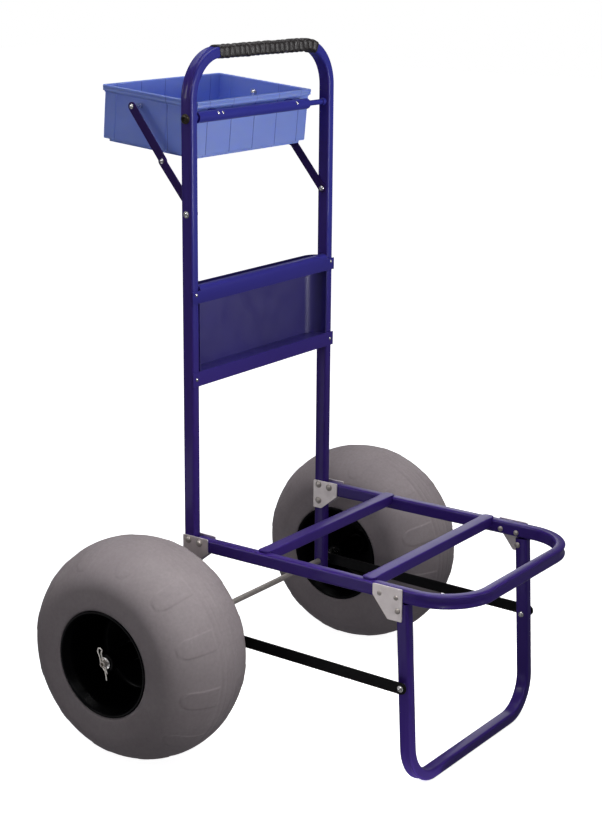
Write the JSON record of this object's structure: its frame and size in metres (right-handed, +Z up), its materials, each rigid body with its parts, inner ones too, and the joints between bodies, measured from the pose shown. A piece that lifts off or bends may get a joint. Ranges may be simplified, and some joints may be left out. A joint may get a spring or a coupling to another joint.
{
  "type": "folding trolley",
  "caption": "Folding trolley with a bent-tube back frame, balloon tyres, a platform that folds up with its front leg, and a folding plastic tray below a ridged grip.",
  "frame": {"origin": "on the ground, under the middle of the object's box", "axes": "+Z up, the platform points to -Y and the tray to +Y, the axle lies along X, left is +X"},
  "size_m": [0.9586, 0.8432, 1.2941],
  "materials": {
    "blue_paint": "gloss",
    "black_grip": "matte",
    "zinc": "satin",
    "bright_bolts": "polished",
    "bright_steel": "polished",
    "dark_screws": "satin",
    "black_paint": "matte",
    "blue_plastic": "satin",
    "grey_tyre": "matte",
    "black_plastic": "gloss"
  },
  "bodies": {
    "back": {"back_frame": "blue_paint", "handle_grip": "black_grip", "back_panel": "blue_paint", "axle": "bright_steel", "tray_rod": "blue_paint", "upright_gusset_outer_left": "zinc", "upright_gusset_outer_right": "zinc", "upright_gusset_inner_left": "zinc", "upright_gusset_inner_right": "zinc", "gusset_bolt_upper_left": "bright_bolts", "gusset_bolt_upper_right": "bright_bolts", "gusset_bolt_lower_left": "bright_bolts", "gusset_bolt_lower_right": "bright_bolts", "platform_pivot_left": "bright_bolts", "platform_pivot_right": "bright_bolts", "axle_spacer_left": "bright_steel", "axle_spacer_right": "bright_steel", "axle_collar_left": "bright_steel", "axle_collar_right": "bright_steel", "axle_washer_left": "bright_steel", "axle_washer_right": "bright_steel", "r_clip_left": "bright_steel", "r_clip_right": "bright_steel", "tray_rod_screw_left": "dark_screws", "tray_rod_screw_right": "dark_screws", "brace_bolt_left": "bright_bolts", "brace_bolt_right": "bright_bolts"},
    "tray": {"tray": "blue_plastic", "tray_sleeve": "blue_paint", "tray_brace_bolt_left": "bright_bolts", "tray_brace_bolt_right": "bright_bolts"},
    "brace_lower": {"brace_lower_left": "blue_paint", "brace_lower_right": "blue_paint"},
    "brace_upper": {"brace_upper_left": "blue_paint", "brace_upper_right": "blue_paint"},
    "platform": {"platform_frame": "blue_paint", "crossbar_rear": "blue_paint", "crossbar_front": "blue_paint", "leg_gusset_left": "zinc", "leg_gusset_right": "zinc", "leg_pivot_bolt_left": "bright_bolts", "leg_pivot_bolt_right": "bright_bolts"},
    "leg": {"leg_frame": "blue_paint", "leg_stay_pin_left": "bright_bolts", "leg_stay_pin_right": "bright_bolts"},
    "stays": {"stay_left": "black_paint", "stay_right": "black_paint", "stay_bolt_left": "bright_bolts", "stay_bolt_right": "bright_bolts"},
    "wheel_left": {"tyre_left": "grey_tyre", "rim_outer_left": "black_plastic", "rim_inner_left": "black_plastic", "hub_left": "black_plastic"},
    "wheel_right": {"tyre_right": "grey_tyre", "rim_outer_right": "black_plastic", "rim_inner_right": "black_plastic", "hub_right": "black_plastic"}
  },
  "joints": [
    {"name": "wheel_left_spin", "type": "hinge", "parent": "back", "child": "wheel_left", "pos_m": [0.371, 0.17945, 0.21], "axis": [1, 0, 0], "continuous": true},
    {"name": "wheel_right_spin", "type": "hinge", "parent": "back", "child": "wheel_right", "pos_m": [-0.371, 0.17945, 0.21], "axis": [1, 0, 0], "continuous": true},
    {"name": "platform_fold", "type": "hinge", "parent": "back", "child": "platform", "pos_m": [0, 0.15345, 0.377], "axis": [-1, 0, 0], "range_deg": [0, 87]},
    {"name": "leg_fold", "type": "hinge", "parent": "platform", "child": "leg", "pos_m": [0, -0.28955, 0.3445], "axis": [1, 0, 0], "range_deg": [0, 82]},
    {"name": "stay_swing", "type": "hinge", "parent": "back", "child": "stays", "pos_m": [0, 0.17945, 0.21], "axis": [-1, 0, 0], "range_deg": [0, 79]},
    {"name": "tray_fold", "type": "hinge", "parent": "back", "child": "tray", "pos_m": [0, 0.17945, 1.168], "axis": [-1, 0, 0], "range_deg": [0, 80]},
    {"name": "brace_lower_swing", "type": "hinge", "parent": "back", "child": "brace_lower", "pos_m": [0, 0.17945, 0.997], "axis": [-1, 0, 0], "range_deg": [0, 98]},
    {"name": "brace_upper_swing", "type": "hinge", "parent": "tray", "child": "brace_upper", "pos_m": [0, 0.32555, 1.17898], "axis": [1, 0, 0], "range_deg": [0, 141]}
  ],
  "couplings": [
    {"joint": "leg_fold", "follows": "platform_fold", "ratio": 0.91979},
    {"joint": "stay_swing", "follows": "platform_fold", "ratio": 0.88717},
    {"joint": "brace_lower_swing", "follows": "tray_fold", "ratio": 1.1969},
    {"joint": "brace_upper_swing", "follows": "tray_fold", "ratio": 1.7434}
  ]
}
